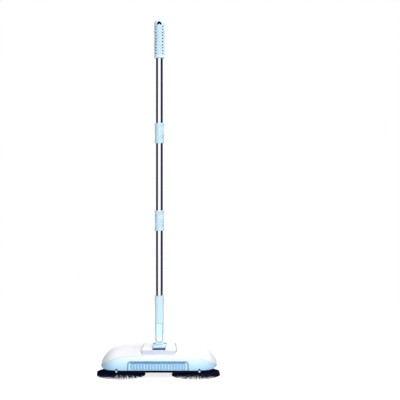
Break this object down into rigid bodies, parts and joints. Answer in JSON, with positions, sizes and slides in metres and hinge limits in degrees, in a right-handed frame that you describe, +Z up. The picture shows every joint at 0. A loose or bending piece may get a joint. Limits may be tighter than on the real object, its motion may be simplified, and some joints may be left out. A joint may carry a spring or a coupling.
{
  "type": "carpet sweeper",
  "caption": "Push-along carpet sweeper with a domed hood, spinning disc brushes, a roller brush, a pull-out dust drawer and a jointed pole handle.",
  "frame": {"origin": "centre of the footprint on the floor, under the middle of the bounding box", "axes": "-Y is the front with the brushes and the drawer, +X is to the right seen from the front, +Z is up along the pole"},
  "size_m": [0.333, 0.215, 0.9646],
  "materials": {
    "blue_plastic": "glossy moulded plastic, light blue",
    "white_plastic": "glossy moulded plastic, white",
    "drawer_plastic": "satin moulded plastic, mid blue",
    "black_plastic": "black moulded plastic",
    "bristle": "dark nylon filament",
    "chrome_steel": "polished steel tube",
    "plain_steel": "drawn steel rod",
    "gear_plastic": "natural acetal",
    "rubber": "black rubber"
  },
  "bodies": {
    "chassis": {"top_cover": "white_plastic", "front_fascia": "blue_plastic", "handle_mount": "white_plastic", "chassis_tray": "black_plastic", "tilt_pin": "plain_steel", "hood_clip_left": "blue_plastic", "hood_clip_right": "blue_plastic", "axle_bearing_left": "gear_plastic", "axle_bearing_right": "gear_plastic", "roller_bracket_left": "black_plastic", "roller_bracket_right": "black_plastic", "gear_carrier_left": "black_plastic", "gear_carrier_right": "black_plastic", "idler_pin_left": "plain_steel", "idler_pin_right": "plain_steel", "spindle_bush_left": "gear_plastic", "spindle_bush_right": "gear_plastic"},
    "drawer": {"drawer_front": "drawer_plastic", "dust_drawer": "drawer_plastic"},
    "axle": {"drive_axle": "plain_steel", "axle_gear": "gear_plastic", "wheel_hub_left": "gear_plastic", "wheel_hub_right": "gear_plastic", "tyre_left": "rubber", "tyre_right": "rubber", "crown_wheel_left": "gear_plastic", "crown_wheel_right": "gear_plastic"},
    "roller": {"roller_core": "black_plastic", "roller_bristles": "bristle", "roller_gear": "gear_plastic"},
    "transfer_left": {"transfer_shaft_left": "plain_steel", "crown_pinion_left": "gear_plastic", "transfer_gear_left": "gear_plastic"},
    "idler_left": {"idler_gear_left": "gear_plastic"},
    "brush_left": {"brush_spindle_left": "plain_steel", "brush_gear_left": "gear_plastic", "brush_hub_left": "black_plastic", "brush_bristles_left": "bristle"},
    "transfer_right": {"transfer_shaft_right": "plain_steel", "crown_pinion_right": "gear_plastic", "transfer_gear_right": "gear_plastic"},
    "idler_right": {"idler_gear_right": "gear_plastic"},
    "brush_right": {"brush_spindle_right": "plain_steel", "brush_gear_right": "gear_plastic", "brush_hub_right": "black_plastic", "brush_bristles_right": "bristle"},
    "pivot": {"pivot_block": "blue_plastic"},
    "pole": {"pole_socket": "blue_plastic", "socket_panel": "blue_plastic", "swing_pin": "plain_steel", "pivot_cap_front": "white_plastic", "pivot_cap_rear": "white_plastic", "pole_tube_lower": "chrome_steel", "pole_tube_middle": "chrome_steel", "pole_tube_upper": "chrome_steel", "connector_lower": "blue_plastic", "connector_upper": "blue_plastic", "connector_plug_lower": "gear_plastic", "connector_plug_upper": "gear_plastic", "handle_grip": "blue_plastic"}
  },
  "joints": [
    {"name": "handle_tilt", "type": "hinge", "parent": "chassis", "child": "pivot", "pos_m": [0, 0.0105, 0.068], "axis": [-1, 0, 0], "range_deg": [0, 55]},
    {"name": "handle_swing", "type": "hinge", "parent": "pivot", "child": "pole", "pos_m": [0, 0.0105, 0.09], "axis": [0, 1, 0], "range_deg": [-45, 45]},
    {"name": "drawer_slide", "type": "slide", "parent": "chassis", "child": "drawer", "axis": [0, -1, 0], "range_m": [0, 0.065]},
    {"name": "axle_spin", "type": "hinge", "parent": "chassis", "child": "axle", "pos_m": [0, 0.0485, 0.019], "axis": [1, 0, 0], "continuous": true},
    {"name": "roller_spin", "type": "hinge", "parent": "chassis", "child": "roller", "pos_m": [0, 0.026, 0.019], "axis": [1, 0, 0], "continuous": true},
    {"name": "transfer_spin_left", "type": "hinge", "parent": "chassis", "child": "transfer_left", "pos_m": [-0.1005, 0.0485, 0.0388], "axis": [0, 0, 1], "continuous": true},
    {"name": "idler_spin_left", "type": "hinge", "parent": "chassis", "child": "idler_left", "pos_m": [-0.1005, 0.0035, 0.0388], "axis": [0, 0, 1], "continuous": true},
    {"name": "brush_spin_left", "type": "hinge", "parent": "chassis", "child": "brush_left", "pos_m": [-0.1005, -0.0415, 0.005], "axis": [0, 0, 1], "continuous": true},
    {"name": "transfer_spin_right", "type": "hinge", "parent": "chassis", "child": "transfer_right", "pos_m": [0.1005, 0.0485, 0.0388], "axis": [0, 0, 1], "continuous": true},
    {"name": "idler_spin_right", "type": "hinge", "parent": "chassis", "child": "idler_right", "pos_m": [0.1005, 0.0035, 0.0388], "axis": [0, 0, 1], "continuous": true},
    {"name": "brush_spin_right", "type": "hinge", "parent": "chassis", "child": "brush_right", "pos_m": [0.1005, -0.0415, 0.005], "axis": [0, 0, 1], "continuous": true}
  ],
  "couplings": [
    {"joint": "roller_spin", "follows": "axle_spin", "ratio": -1.5},
    {"joint": "transfer_spin_left", "follows": "axle_spin", "ratio": 2},
    {"joint": "idler_spin_left", "follows": "axle_spin", "ratio": -1.3333},
    {"joint": "brush_spin_left", "follows": "axle_spin", "ratio": 2},
    {"joint": "transfer_spin_right", "follows": "axle_spin", "ratio": -2},
    {"joint": "idler_spin_right", "follows": "axle_spin", "ratio": 1.3333},
    {"joint": "brush_spin_right", "follows": "axle_spin", "ratio": -2}
  ]
}
